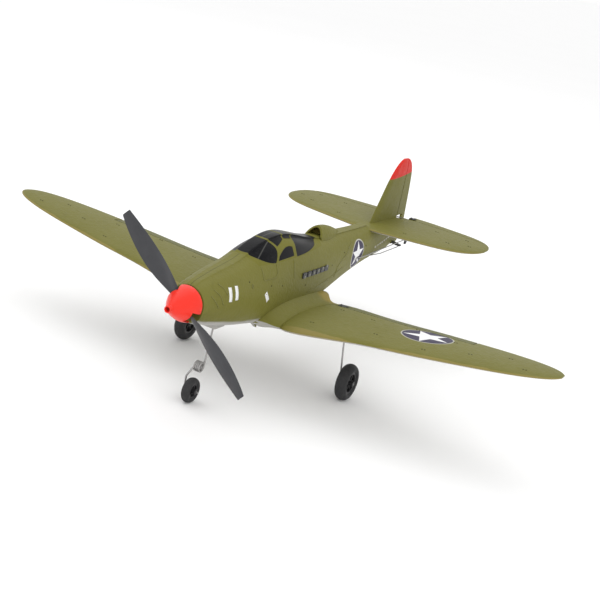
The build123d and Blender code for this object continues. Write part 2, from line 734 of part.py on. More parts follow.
def tail_rod(servo_x, z, exit_place, end_x, end_y, tip):
    """Wire from its slider, out through the body side and bent into its horn."""
    start = SERVO_FRONT + SLIDER_PLACE + SLIDER[1] / 2
    exit_x, exit_y = exit_place
    return bent_rod([(servo_x, start, z), (servo_x, start + 14.0, z), (exit_x, exit_y, z),
                     (end_x, end_y, z), tip], ROD)


def rod_channel(servo_x, z, exit_place):
    """Room in the foam for a rod's travel, run on past the body side."""
    start = SERVO_FRONT + SLIDER_PLACE
    bend = Vector(servo_x, start + SLIDER[1] / 2 + 14.0, z)
    run = Vector(exit_place[0], exit_place[1], z) - bend
    far = bend + run * 1.16
    inner = bar((servo_x, start, z), (bend.X, bend.Y, bend.Z), CHANNEL)
    outer = bar((bend.X, bend.Y, bend.Z), (far.X, far.Y, far.Z), CHANNEL)
    return [inner, outer, Pos(bend.X, bend.Y, bend.Z) * Sphere(CHANNEL)]


def servo_box(x, front, bottom, size, grow=0.0, headroom=0.0):
    """Servo case outline; grown and with headroom it is the case's pocket."""
    wide, long, tall = size
    return box(x - wide / 2 - grow, x + wide / 2 + grow, front - grow, front + long + grow,
               bottom, bottom + tall + headroom)


def tail_servo(x, rod_z):
    """Linear servo with a groove in its top for the slider's foot."""
    bottom = rod_z - SLIDER[2] / 2 - SLIDER_GAP - SERVO[2]
    top = bottom + SERVO[2]
    case = servo_box(x, SERVO_FRONT, bottom, SERVO)
    return case - box(x - 0.6, x + 0.6, SERVO_FRONT + 1.5, SERVO_FRONT + SERVO[1] - 1.5, top - 0.5, top + 1)


def tail_servo_pocket(x, rod_z):
    bottom = rod_z - SLIDER[2] / 2 - SLIDER_GAP - SERVO[2]
    return servo_box(x, SERVO_FRONT, bottom, SERVO, FOAM_GAP, SLIDER_GAP + SLIDER[2] + FOAM_GAP)


def tail_slider(x, rod_z):
    y = SERVO_FRONT + SLIDER_PLACE
    return Pos(x, y, rod_z) * Box(*SLIDER)


def wing_slider():
    """Block under the aileron servo with an arm down to the rod."""
    top = WING_SERVO_BOTTOM - SLIDER_GAP
    rod_z = aileron_hinge_z() - AILERON_HORN_REACH
    y = WING_SLIDER_Y
    block = box(AILERON_ROD_X - 0.8, AILERON_HORN_X + 1.2, y - 1.8, y + 1.8, top - SLIDER[2], top)
    return block + box(AILERON_ROD_X - 0.8, AILERON_ROD_X + 0.8, y - 1.2, y + 1.2, rod_z - 0.8, top - 1.0)


def aileron_hinge_z():
    """Height of the aileron's hinge line beside its horn."""
    lead, trail = wing_edges(AILERON_HORN_X)
    return wing_mid(AILERON_HORN_X, (aileron_hinge(AILERON_HORN_X) - lead) / (trail - lead))


def aileron_rod():
    z = aileron_hinge_z() - AILERON_HORN_REACH
    y = aileron_hinge(AILERON_HORN_X)
    return bent_rod([(AILERON_ROD_X, WING_SLIDER_Y + 1.2, z), (AILERON_ROD_X, y, z),
                     (AILERON_HORN_X + 1.4, y, z)], ROD)


def leg_socket():
    """Plastic block in the wing's underside that grips the main leg."""
    low = wing_skins(MAIN_LEG_TOP, MAIN_Y)[0]
    top = low + LEG_DEPTH + 0.5
    return box(MAIN_LEG_TOP - 4.5, MAIN_LEG_TOP + 4.5, MAIN_Y - 6, MAIN_Y + 6, low - 0.6, top)


def other_side(shape):
    return mirror(shape, about=Plane.YZ)


# ---- build ----
os.makedirs("parts", exist_ok=True)

left_half = fuselage_half()
body = left_half + other_side(left_half)
wing_full = wing_loft() + root_fillet()
stab_full = stab_loft()
fin_full = fin_loft()
far = 400.0

# canopy, scoop and exhausts
canopy_space = canopy_block()
put("canopy", body & canopy_space)
put("air_scoop", only_solids(scoop_solid() - body))
stubs = []
for index in range(STUB_COUNT):
    station = STUB_FIRST[0] + STUB_STEP[0] * index
    height = STUB_FIRST[1] + STUB_STEP[1] * index
    reach = blend_height(station, 3) - STUB_SUNK
    for side in (-1, 1):
        block = Pos(side * reach, station, height) * Box(*STUB)
        stubs += (block - body).solids()
put("exhaust_stubs", Compound(children=stubs))

# drive
turned = Rot(0, -PROP_REST, 0)
hub_front = PROP_PLANE - HUB_LENGTH / 2
screw_seat = 6.0
put("spinner", turned * spinner_solid())
put("propeller", turned * propeller_solid())
screw = along_y(SPINNER_HOLE - 0.15, screw_seat - 1.4, screw_seat)
screw = screw + along_y(MOTOR_SHAFT, screw_seat, hub_front + 4.0)
put("propeller_screw", screw - box(-2, 2, screw_seat - 2, screw_seat - 0.9, -0.25, 0.25))
shaft = along_y(SHAFT_RADIUS, hub_front, GEAR_FRONT + GEAR_WIDTH + 0.8)
put("propeller_shaft", shaft - along_y(MOTOR_SHAFT, 0, hub_front + 4.0))
put("spur_gear", gear_solid(SPUR_TEETH, GEAR_FRONT, 0, 0, -90, SHAFT_RADIUS))
pinion_phase = 90 + 180 / PINION_TEETH
put("motor_pinion", gear_solid(PINION_TEETH, GEAR_FRONT, 0, -GEAR_CENTRES, pinion_phase, MOTOR_SHAFT))
put("motor_shaft", along_y(MOTOR_SHAFT, GEAR_FRONT - 0.4, MOTOR_FRONT + 3.5, 0, -GEAR_CENTRES))
put("motor", motor_can())
put("gearbox_frame", gearbox_solid())
put("shaft_bearings", bearings())

# battery, hatch, catch and board
half = BATTERY[0] / 2
battery_back = BATTERY_FRONT + BATTERY[1]
battery_top = BATTERY_BOTTOM + BATTERY[2]
battery = box(-half, half, BATTERY_FRONT, battery_back, BATTERY_BOTTOM, battery_top)
put("battery", fillet(battery.edges().filter_by(Axis.Y), 1.6))
hatch_space = box(-HATCH_HALF, HATCH_HALF, HATCH_FRONT, HATCH_REAR, -far, HATCH_INSIDE)
tab = plate_across([(HATCH_REAR - 9.5, -24.0), (HATCH_REAR - 0.6, -25.6), (HATCH_REAR - 1.2, -29.4)],
                   6.4, 2.2)
put("battery_hatch", (body & hatch_space) + tab)
catch_x, catch_y, catch_z = 8.6, HATCH_REAR + 9.5, -29.0
catch_points = [(catch_x, catch_y, -21.0), (catch_x, catch_y, catch_z), (catch_x, catch_y - 5.6, catch_z)]
put("hatch_catch", wire_run(catch_points, 1.2, ROD))
half = BOARD[0] / 2
board_back = BOARD_FRONT + BOARD[1]
board_top = BOARD_Z + BOARD[2]
board = box(-half, half, BOARD_FRONT, board_back, BOARD_Z, board_top)
for x0, x1, y0, y1 in ((-7, -1, 4, 11), (1.5, 6.5, 5, 10), (-6, 2, 15, 22), (4, 7.5, 16, 26)):
    board = board + box(x0, x1, BOARD_FRONT + y0, BOARD_FRONT + y1, board_top - 0.1, BOARD_Z + CHIP_HEIGHT)
put("receiver_board", board)
lead_z = board_top - 0.4
plug_length = 3.4
leads = [box(-3.0, 3.0, BOARD_FRONT - plug_length, BOARD_FRONT, BOARD_Z - 0.6, BOARD_Z + 2.2)]
for x in (-0.9, 0.9):
    run = [(x, battery_back, battery_top - 2.0), (x, battery_back + 2.0, battery_top - 2.0),
           (x, battery_back + 3.2, lead_z), (x, BOARD_FRONT - plug_length, lead_z)]
    leads.append(wire_run(run, 2.2, LEAD))
put("battery_lead", Compound(children=leads))
motor_leads = []
for x in (-1.1, 1.1):
    run = [(x, MOTOR_FRONT + MOTOR_LENGTH, MOTOR_LEAD_Z), (x, 100.0, lead_z),
           (x * 5, BOARD_FRONT - 0.25, lead_z)]
    motor_leads.append(wire_run(run, 10.0, LEAD))
put("motor_lead", Compound(children=motor_leads))

# tail servos, sliders and rods
put("elevator_servo", tail_servo(SERVO_X, ELEVATOR_ROD_Z))
put("rudder_servo", tail_servo(-SERVO_X, RUDDER_ROD_Z))
put("elevator_slider", tail_slider(SERVO_X, ELEVATOR_ROD_Z))
put("rudder_slider", tail_slider(-SERVO_X, RUDDER_ROD_Z))
put("elevator_pushrod", tail_rod(SERVO_X, ELEVATOR_ROD_Z, ELEVATOR_EXIT, ELEVATOR_ROD_X, ELEVATOR_HINGE,
                                 (ELEVATOR_HORN_X + 1.4, ELEVATOR_HINGE, ELEVATOR_ROD_Z)))
put("rudder_pushrod", tail_rod(-SERVO_X, RUDDER_ROD_Z, RUDDER_EXIT, RUDDER_HORN_REACH, RUDDER_HINGE,
                               (RUDDER_HORN_REACH, RUDDER_HINGE, RUDDER_ROD_Z + 2.6)))

# nose leg and its socket
leg_socket_nose = box(-4.5, 4.5, 55.0, 67.0, -21.6, -14.2)
put("nose_leg", nose_leg())
put("nose_leg_socket", leg_socket_nose - bar(NOSE_LEG_TOP, NOSE_LEG_KNEE, WIRE + RUN_FIT))

# fuselage halves
plate_room = 10.1
clamp_low = -GEAR_CENTRES - 2.9
motor_back = MOTOR_FRONT + MOTOR_LENGTH
battery_half = BATTERY[0] / 2 + FOAM_GAP
hatch_half = HATCH_HALF + FOAM_GAP
board_half = BOARD[0] / 2 + FOAM_GAP
seat_reach = 12.0
stab_seat = prism([(-seat_reach, stab_edges(seat_reach)[0]), (0, stab_edges(0)[0]),
                   (seat_reach, stab_edges(seat_reach)[0]), (seat_reach, 360), (-seat_reach, 360)],
                  STAB_Z, 40)
spar_lead, spar_trail = wing_edges(0)
spar_start = (3.0, spar_lead + SPAR_CHORD * (spar_trail - spar_lead), wing_mid(0, SPAR_CHORD))
spar_lead, spar_trail = wing_edges(SPAR_OUT)
spar_end = (SPAR_OUT, spar_lead + SPAR_CHORD * (spar_trail - spar_lead), wing_mid(SPAR_OUT, SPAR_CHORD))
spar = bar(spar_start, spar_end, SPAR_RADIUS)
spar_hole = bar(spar_start, spar_end, SPAR_RADIUS + RUN_FIT)
hollow = loft([half_section(y, blend_height(y, 1) - TAIL_WALL, blend_height(y, 2) + TAIL_WALL,
                            blend_height(y, 3) - TAIL_WALL, blend_height(y, 4), 2.0) for y in TAIL_HOLLOW])
frame_room = (-6.7, 1.3)
clamp_front, clamp_back, clamp_top = MOTOR_FRONT - 1.5, MOTOR_FRONT + 6.8, -GEAR_CENTRES + 4.9
pinion_room = 2.7
channel = (-9.3, -6.9)
channel_front, channel_back = 98.0, HATCH_REAR + 1
board_room_top = -5.6
cuts = [
    canopy_space, stab_full, stab_seat, spar_hole, other_side(spar_hole), hollow, other_side(hollow),
    along_y(TUBE_RADIUS, 0, FRAME_FRONT), along_y(plate_room, FRAME_FRONT - FOAM_GAP, MOTOR_FRONT),
    box(-plate_room, plate_room, FRAME_FRONT, MOTOR_FRONT, *frame_room),
    box(-plate_room, plate_room, clamp_front, clamp_back, clamp_low, clamp_top),
    along_y(MOTOR_RADIUS + 1.2, clamp_front, clamp_back, 0, -GEAR_CENTRES),
    along_y(MOTOR_RADIUS + FOAM_GAP, MOTOR_FRONT, motor_back + FOAM_GAP, 0, -GEAR_CENTRES),
    leg_socket_nose,
    box(-battery_half, battery_half, BATTERY_FRONT - FOAM_GAP, battery_back + FOAM_GAP, -far,
        battery_top + FOAM_GAP),
    box(-hatch_half, hatch_half, HATCH_FRONT - FOAM_GAP, HATCH_REAR + FOAM_GAP, -far,
        HATCH_INSIDE + FOAM_GAP),
    box(-2.0, 2.0, motor_back, channel_back, *channel), box(-4.6, 4.6, channel_front, channel_back, *channel),
    along_y(pinion_room, GEAR_FRONT - 1, MOTOR_FRONT, 0, -GEAR_CENTRES),
    box(-2.2, 2.2, battery_back - 0.5, BOARD_FRONT, battery_top - 3.4, channel[1]),
    box(-board_half, board_half, HATCH_REAR, BOARD_FRONT + 0.1, BOARD_Z - 0.8, board_room_top),
    box(-board_half, board_half, BOARD_FRONT - 0.1, board_back + FOAM_GAP, BOARD_Z, board_room_top),
    tail_servo_pocket(SERVO_X, ELEVATOR_ROD_Z), tail_servo_pocket(-SERVO_X, RUDDER_ROD_Z),
    bar(catch_points[0], catch_points[1], ROD + RUN_FIT),
]
cuts += rod_channel(SERVO_X, ELEVATOR_ROD_Z, ELEVATOR_EXIT)
cuts += rod_channel(-SERVO_X, RUDDER_ROD_Z, RUDDER_EXIT)
for name, foam in (("fuselage_left", left_half), ("fuselage_right", other_side(left_half))):
    for cut in cuts:
        foam = foam - cut
    put(name, only_solids(foam))

# wings, ailerons, spars and main gear
socket = leg_socket()
leg_hole = bar(main_leg_top(), (MAIN_LEG_FOOT, MAIN_Y, MAIN_RADIUS - THRUST_HEIGHT), WIRE + RUN_FIT)
servo_bottom = WING_SERVO_BOTTOM
wing_servo = servo_box(AILERON_HORN_X, WING_SERVO_FRONT, servo_bottom, WING_SERVO)
servo_room = servo_box(AILERON_HORN_X, WING_SERVO_FRONT, servo_bottom - 1, WING_SERVO, FOAM_GAP, 1.0)
aileron_cut = aileron_area(AILERON_IN - AILERON_END_GAP, AILERON_OUT + AILERON_END_GAP, HINGE_GAP)
wing = wing_full - body - aileron_cut - spar_hole - servo_room - socket
hinge_y = aileron_hinge(AILERON_HORN_X)
aileron_horn = surface_horn(AILERON_HORN_X, hinge_y, aileron_hinge_z(), AILERON_HORN_REACH,
                            wing_skins(AILERON_HORN_X, hinge_y + 3.4), (3.2, 3.2))
aileron = (wing_full & aileron_area(AILERON_IN, AILERON_OUT, 0)) - aileron_horn
for side, turn in (("left", lambda shape: shape), ("right", other_side)):
    put("wing_" + side, turn(only_solids(wing)))
    put("aileron_" + side, turn(only_solids(aileron)))
    put("aileron_horn_" + side, turn(aileron_horn))
    put("aileron_slider_" + side, turn(wing_slider()))
    put("aileron_pushrod_" + side, turn(aileron_rod()))
    put("main_leg_" + side, turn(main_leg()))
    wheel = (MAIN_X, MAIN_Y, MAIN_RADIUS - THRUST_HEIGHT)
    put("main_tyre_" + side, turn(tyre(*wheel, MAIN_RADIUS, MAIN_WIDTH, MAIN_BEAD)))
    put("main_hub_" + side, turn(hub(*wheel, MAIN_BEAD, MAIN_WIDTH, WIRE)))
put("wing_spars", Compound(children=[spar, other_side(spar)]))
put("aileron_servos", Compound(children=[wing_servo, other_side(wing_servo)]))
socket = socket - leg_hole
put("leg_sockets", Compound(children=[socket, other_side(socket)]))
wheel = (0, NOSE_Y, NOSE_RADIUS - THRUST_HEIGHT)
put("nose_tyre", tyre(*wheel, NOSE_RADIUS, NOSE_WIDTH, NOSE_BEAD))
put("nose_hub", hub(*wheel, NOSE_BEAD, NOSE_WIDTH, WIRE))
put("wheel_collars", collars())

# tail surfaces
joiner_y = ELEVATOR_HINGE + 1.6
joiner_half = 20.0
joiner = along_x(MOTOR_SHAFT, -joiner_half, joiner_half, joiner_y, STAB_Z)
joiner_hole = along_x(MOTOR_SHAFT + RUN_FIT, -joiner_half, joiner_half, joiner_y, STAB_Z)
elevator_horn = surface_horn(ELEVATOR_HORN_X, ELEVATOR_HINGE, STAB_Z, STAB_Z - ELEVATOR_ROD_Z,
                             stab_skins(ELEVATOR_HORN_X, ELEVATOR_HINGE + 3.4), (1.8, 2.8))
elevator_area = box(ELEVATOR_ROOT, far, ELEVATOR_HINGE, far, 0, 40)
elevator = (stab_full & elevator_area) - joiner_hole
put("elevator_joiner", joiner)
put("elevator_horn", elevator_horn)
put("elevator_left", only_solids(elevator - elevator_horn))
put("elevator_right", other_side(elevator))
stab_front = stab_full - box(-far, far, ELEVATOR_HINGE - HINGE_GAP, far, 0, 40)
stabiliser = stab_front - box(-5.5, 5.5, RUDDER_HINGE - 0.8, far, 0, 40)
put("stabiliser", stabiliser)
put("fin", only_solids((fin_full - stab_full) - box(-10, 10, RUDDER_HINGE - 0.8, far, 0, 90)))
rudder_top = fin_full & box(-10, 10, RUDDER_HINGE + RUDDER_FRONT, far, 0, 90)
joiner_notch = box(-6, 6, RUDDER_HINGE - 1, joiner_y + 2.8, 12.2, 18.4)
arm = rudder_horn()
rudder = (rudder_top + rudder_foot()) - joiner_notch - arm
put("rudder", only_solids(rudder))
put("rudder_horn", arm)
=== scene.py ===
import math

import bpy
import numpy as np
from mathutils import Matrix, Vector


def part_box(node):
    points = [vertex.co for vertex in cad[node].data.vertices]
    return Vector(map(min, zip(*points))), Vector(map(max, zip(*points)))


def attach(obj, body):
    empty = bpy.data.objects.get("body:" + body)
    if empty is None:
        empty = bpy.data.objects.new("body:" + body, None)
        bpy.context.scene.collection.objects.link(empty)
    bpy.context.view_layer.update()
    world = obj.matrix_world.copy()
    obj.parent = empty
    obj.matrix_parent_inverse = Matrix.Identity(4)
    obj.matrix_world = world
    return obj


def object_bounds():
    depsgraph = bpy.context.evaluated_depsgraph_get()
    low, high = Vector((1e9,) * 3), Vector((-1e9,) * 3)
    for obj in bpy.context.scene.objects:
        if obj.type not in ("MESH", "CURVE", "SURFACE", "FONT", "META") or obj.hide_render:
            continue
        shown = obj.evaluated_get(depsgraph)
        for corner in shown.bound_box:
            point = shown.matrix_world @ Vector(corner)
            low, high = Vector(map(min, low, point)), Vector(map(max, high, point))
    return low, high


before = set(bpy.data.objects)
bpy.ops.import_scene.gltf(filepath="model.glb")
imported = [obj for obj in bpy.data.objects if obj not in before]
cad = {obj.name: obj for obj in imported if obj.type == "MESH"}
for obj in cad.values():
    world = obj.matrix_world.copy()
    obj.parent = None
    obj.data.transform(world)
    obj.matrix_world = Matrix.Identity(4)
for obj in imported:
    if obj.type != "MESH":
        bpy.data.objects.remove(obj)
first_low, first_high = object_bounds()


# ---- Room ----
# A plain pale floor under the airplane's wheels and a large soft studio light
# from above and behind, with a weaker one from the front left. Stations are
# millimetres aft of the spinner's tip, levels millimetres over the propeller's axis.
MM = 0.001
NOSE_TIP = first_low.y
THRUST = 0.0695


class Paint:
    """One shader value: Python arithmetic on it adds the Math nodes that do it."""

    def __init__(self, tree, socket):
        self.tree = tree
        self.socket = socket

    def math(self, kind, other=None, third=None):
        node = self.tree.nodes.new("ShaderNodeMath")
        node.operation = kind
        for place, value in enumerate((self, other, third)):
            if isinstance(value, Paint):
                self.tree.links.new(value.socket, node.inputs[place])
            elif value is not None:
                node.inputs[place].default_value = value
        return Paint(self.tree, node.outputs[0])

    def __add__(self, other):
        return self.math("ADD", other)

    __radd__ = __add__

    def __mul__(self, other):
        return self.math("MULTIPLY", other)

    __rmul__ = __mul__

    def __sub__(self, other):
        return self.math("SUBTRACT", other)

    def __rsub__(self, other):
        return (self * -1.0) + other

    def __truediv__(self, other):
        return self.math("DIVIDE", other)

    def __pow__(self, other):
        return self.math("POWER", other)

    def size(self):
        return self.math("ABSOLUTE")

    def least(self, other):
        return self.math("MINIMUM", other)

    def most(self, other):
        return self.math("MAXIMUM", other)

    def below(self, edge, soft):
        """1 where the value is under edge, 0 above it, with a soft step between."""
        return ((edge - self) / soft + 0.5).clamp()

    def clamp(self):
        return self.least(1.0).most(0.0)


class Finish:
    """A material under construction: its node tree, its shader and one way to add a node."""

    def __init__(self, name, rough, metal=0.0, coat=0.0, spec=0.5):
        self.material = bpy.data.materials.new(name)
        self.material.use_nodes = True
        self.tree = self.material.node_tree
        self.shader = self.tree.nodes["Principled BSDF"]
        self.shader.inputs["Roughness"].default_value = rough
        self.shader.inputs["Metallic"].default_value = metal
        self.shader.inputs["Coat Weight"].default_value = coat
        self.shader.inputs["Specular IOR Level"].default_value = spec
        place = self.node("TexCoord")
        self.place = place.outputs["Object"]
        self.facing = place.outputs["Normal"]
        axes = self.node("SeparateXYZ", Vector=self.place)
        self.x, self.y, self.z = (Paint(self.tree, axes.outputs[i]) for i in range(3))

    def node(self, kind, settings=(), **values):
        """Adds a node of a kind, with its settings first and then its socket values or links."""
        node = self.tree.nodes.new("ShaderNode" + kind)
        for key, value in dict(settings).items():
            setattr(node, key, value)
        for key, value in values.items():
            socket = node.inputs[key.replace("_", " ")]
            if isinstance(value, Paint):
                value = value.socket
            if isinstance(value, bpy.types.NodeSocket):
                self.tree.links.new(value, socket)
            else:
                socket.default_value = value
        return node

    def noise(self, scale, detail=2.0, rough=0.5):
        """Smooth random value about a half, with features about 1 / scale metres wide."""
        node = self.node("TexNoise", Vector=self.place, Scale=scale, Detail=detail, Roughness=rough)
        return Paint(self.tree, node.outputs[0])

    def lean(self):
        """How far the surface looks up: 1 straight up, -1 straight down."""
        return Paint(self.tree, self.node("SeparateXYZ", Vector=self.facing).outputs[2])

    def cells(self, scale):
        """Distance to the nearest of many scattered points, as in moulded foam beads."""
        node = self.node("TexVoronoi", Vector=self.place, Scale=scale)
        return Paint(self.tree, node.outputs["Distance"])

    def blend(self, share, first, second):
        """Colour between two others."""
        node = self.tree.nodes.new("ShaderNodeMix")
        node.data_type = "RGBA"
        self.tree.links.new(share.socket, node.inputs[0])
        for place, value in ((6, first), (7, second)):
            if isinstance(value, bpy.types.NodeSocket):
                self.tree.links.new(value, node.inputs[place])
            else:
                node.inputs[place].default_value = (*value, 1.0)
        return node.outputs[2]

    def colour(self, value):
        if isinstance(value, bpy.types.NodeSocket):
            self.tree.links.new(value, self.shader.inputs["Base Color"])
        else:
            self.shader.inputs["Base Color"].default_value = (*value, 1.0)

    def rough(self, value):
        self.tree.links.new(value.socket, self.shader.inputs["Roughness"])

    def relief(self, height, depth):
        """Bump of a height field; depth is in metres."""
        node = self.node("Bump", Height=height, Distance=depth, Strength=1.0)
        self.tree.links.new(node.outputs[0], self.shader.inputs["Normal"])

    def station(self):
        """Millimetres aft of the spinner's tip."""
        return (self.y - NOSE_TIP) * 1000.0

    def level(self):
        """Millimetres above the propeller's axis."""
        return (self.z - THRUST) * 1000.0

    def side(self):
        """Millimetres out from the centre line, the same on both sides."""
        return self.x.size() * 1000.0


def dress(finish, *names):
    """Gives CAD nodes or pieces a finished material in every slot."""
    for name in names:
        thing = cad[name] if isinstance(name, str) else name
        thing.data.materials.clear()
        thing.data.materials.append(finish.material)


def grid_mesh(name, points, closed=False):
    """Points and faces of a grid (rows, columns, 3): each cell is a face, and closed
    joins the last column to the first."""
    rows, columns = points.shape[:2]
    last = columns if closed else columns - 1
    r, c = np.meshgrid(np.arange(rows - 1), np.arange(last), indexing="ij")
    after = (c + 1) % columns
    faces = np.stack([r * columns + c, r * columns + after, (r + 1) * columns + after,
                      (r + 1) * columns + c], -1).reshape(-1, 4)
    return points.reshape(-1, 3), faces


def piece_from(name, parts, body):
    """One object from a list of (points, faces), riding on a body."""
    points = []
    faces = []
    start = 0
    for some_points, some_faces in parts:
        points.append(some_points)
        faces.append(some_faces + start)
        start += len(some_points)
    mesh = bpy.data.meshes.new(name)
    mesh.from_pydata(np.concatenate(points).tolist(), [], np.concatenate(faces).tolist())
    mesh.polygons.foreach_set("use_smooth", np.ones(len(mesh.polygons), bool))
    mesh.update()
    piece = bpy.data.objects.new(name, mesh)
    bpy.context.scene.collection.objects.link(piece)
    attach(piece, body)
    return piece


floor_half = 30.0
floor_points, floor_faces = grid_mesh("floor", np.stack(np.meshgrid(
    np.linspace(-floor_half, floor_half, 2), np.linspace(-floor_half, floor_half, 2), [0.0],
    indexing="ij"), -1).reshape(2, 2, 3))
floor_mesh = bpy.data.meshes.new("floor")
floor_mesh.from_pydata(floor_points.tolist(), [], floor_faces[:, ::-1].tolist())
floor = bpy.data.objects.new("floor", floor_mesh)
bpy.context.scene.collection.objects.link(floor)
floor_paint = Finish("floor_paint", 0.9, spec=0.1)
floor_tones = ((0.96, 0.96, 0.96), (0.98, 0.98, 0.98))
floor_paint.colour(floor_paint.blend(floor_paint.noise(3.0), *floor_tones))
floor_mesh.materials.append(floor_paint.material)

world = bpy.data.worlds.new("studio")
world.use_nodes = True
world.node_tree.nodes["Background"].inputs[0].default_value = (1.0, 1.0, 1.0, 1.0)
world.node_tree.nodes["Background"].inputs[1].default_value = 1.0
bpy.context.scene.world = world
for name, place, size, power in (("top_light", (-0.5, 0.6, 1.6), 1.8, 7.0),
                                 ("front_light", (0.9, -1.3, 1.1), 0.9, 4.0)):
    light = bpy.data.lights.new(name, "AREA")
    light.size = size
    light.energy = power
    lamp = bpy.data.objects.new(name, light)
    lamp.location = place
    lamp.rotation_euler = (-Vector(place)).to_track_quat("-Z", "Y").to_euler()
    bpy.context.scene.collection.objects.link(lamp)

camera_data = bpy.data.cameras.new("camera")
camera_data.lens = 76.043
camera_data.sensor_width = 36.0
camera_data.clip_end = 50.0
camera = bpy.data.objects.new("camera", camera_data)
right = Vector((0.87616, 0.43197, 0.21389))
up = Vector((-0.30996, 0.16507, 0.93631))
back = Vector((0.36915, -0.88666, 0.27852))
turn = Matrix((right, up, back)).transposed().to_4x4()
camera.matrix_world = Matrix.Translation((0.327023, -0.599207 + NOSE_TIP, 0.219631 + THRUST)) @ turn
bpy.context.scene.collection.objects.link(camera)
bpy.context.scene.camera = camera
bpy.context.scene.view_settings.view_transform = "Standard"


# ---- Foam airframe ----
# Two fuselage halves of moulded expanded foam, glued down the middle and sprayed
# olive with a grey underside. The foam's beads show faintly through the paint.
# Each side carries a printed disc with a white star.
OLIVE = (0.158, 0.150, 0.026)
OLIVE_LIGHT = (0.210, 0.201, 0.055)
OLIVE_DARK = (0.055, 0.057, 0.014)
UNDER_GREY = (0.42, 0.41, 0.38)
BARE_FOAM = (0.30, 0.235, 0.075)
WHITE = (0.86, 0.86, 0.86)
NAVY = (0.045, 0.038, 0.075)


def star_mask(across, up, reach):
    """1 inside a five-pointed star with a point towards +up, from the millimetres
    across and up from its centre: the angle is folded into one half point, whose
    edge is a straight line from the tip to the notch."""
    turned = across.math("ARCTAN2", up)
    fifth = 2 * math.pi / 5
    fold = (turned + (10 * fifth + fifth / 2)).math("MODULO", fifth) - fifth / 2
    length = (across * across + up * up) ** 0.5
    along = length * fold.math("COSINE")
    off = length * fold.math("SINE").size()
    inner = 0.4
    notch = (reach * inner * math.cos(fifth / 2), reach * inner * math.sin(fifth / 2))
    slope = (reach - notch[0]) / notch[1]
    return (along + off * slope).below(reach, 0.5)


def foam_finish(name, base=OLIVE):
    """Painted foam: colour clouds, darker flecks and the grain for its bead relief."""
    paint = Finish(name, 0.55, spec=0.16)
    clouds = paint.noise(14.0, 3.0)
    fine = paint.noise(190.0, 3.0, 0.65)
    colour = paint.blend((clouds - 0.35) * 0.9, base, OLIVE_LIGHT)
    colour = paint.blend(((fine - 0.56) * 2.2).clamp() * 0.35, colour, OLIVE_DARK)
    paint.tint = colour
    paint.grain = paint.cells(620.0) * 0.6 + fine * 0.5
    return paint


def underside(paint, edge):
    """Sprays the grey where faces look down more than edge says."""
    down = paint.lean() + (paint.noise(60.0) - 0.5) * 0.12
    paint.tint = paint.blend(down.below(edge, 0.12), paint.tint, UNDER_GREY)


def finish_foam(paint, depth=0.00022):
    paint.colour(paint.tint)
    paint.rough(paint.noise(300.0) * 0.2 + 0.42)
    paint.relief(paint.grain, depth)


body_paint = foam_finish("body_paint")
underside(body_paint, -0.62)
st, lv, sd = body_paint.station(), body_paint.level(), body_paint.side()
seam_half, seam_end = 0.22, 77.0
seam = sd.below(seam_half, 0.12) * lv.math("GREATER_THAN", 0.0) * st.below(seam_end, 0.5)
body_paint.tint = body_paint.blend(seam * 0.75, body_paint.tint, OLIVE_DARK)
disc_station, disc_level = 244.9, 2.2
disc_long, disc_tall, star_reach = 12.7, 10.3, 11.4
disc_y = (st - disc_station) * (1 / disc_long)
disc_z = (lv - disc_level) * (1 / disc_tall)
ring = (disc_y * disc_y + disc_z * disc_z) ** 0.5
body_paint.tint = body_paint.blend(ring.below(1.05, 0.05) * 0.55, body_paint.tint, WHITE)
body_paint.tint = body_paint.blend(ring.below(0.98, 0.04), body_paint.tint, NAVY)
star = star_mask(disc_y * 12.0, disc_z * 12.0, star_reach)
body_paint.tint = body_paint.blend(star, body_paint.tint, WHITE)
finish_foam(body_paint)
dress(body_paint, "fuselage_left", "fuselage_right", "battery_hatch")
socket_paint = Finish("grey_socket", 0.55)
socket_paint.colour(socket_paint.blend(socket_paint.noise(200.0), UNDER_GREY, (0.36, 0.35, 0.33)))
dress(socket_paint, "nose_leg_socket")

scoop_paint = foam_finish("scoop_paint")
mouth_back, mouth_half = 195.0, 4.7
inside = scoop_paint.station().below(mouth_back, 1.0) * scoop_paint.side().below(mouth_half, 0.3)
inward = scoop_paint.lean().below(0.2, 0.2)
scoop_paint.tint = scoop_paint.blend(inside * inward * 0.8, scoop_paint.tint, (0.22, 0.15, 0.04))
finish_foam(scoop_paint)
dress(scoop_paint, "air_scoop")


# ---- Wings and ailerons ----
# Wing halves and ailerons of the same foam, glued to the body's sides. Paint has
# rubbed to bare foam on the leading edges, and a dark disc with a white star is
# printed on the left wing's top. The ailerons' darker olive is painted shade, and an
# ochre patch at the wing root by the trailing edge is a painted pool of light.
def leading_edge(paint, at_centre, sweep, tip_y, half_span, power):
    """Station of the leading edge at a place: a straight edge that closes round the tip."""
    x = paint.side()
    close = 1.0 - (1.0 - (x / half_span).least(1.0) ** power) ** 0.5
    return (x * sweep + at_centre) * (1.0 - close) + close * tip_y


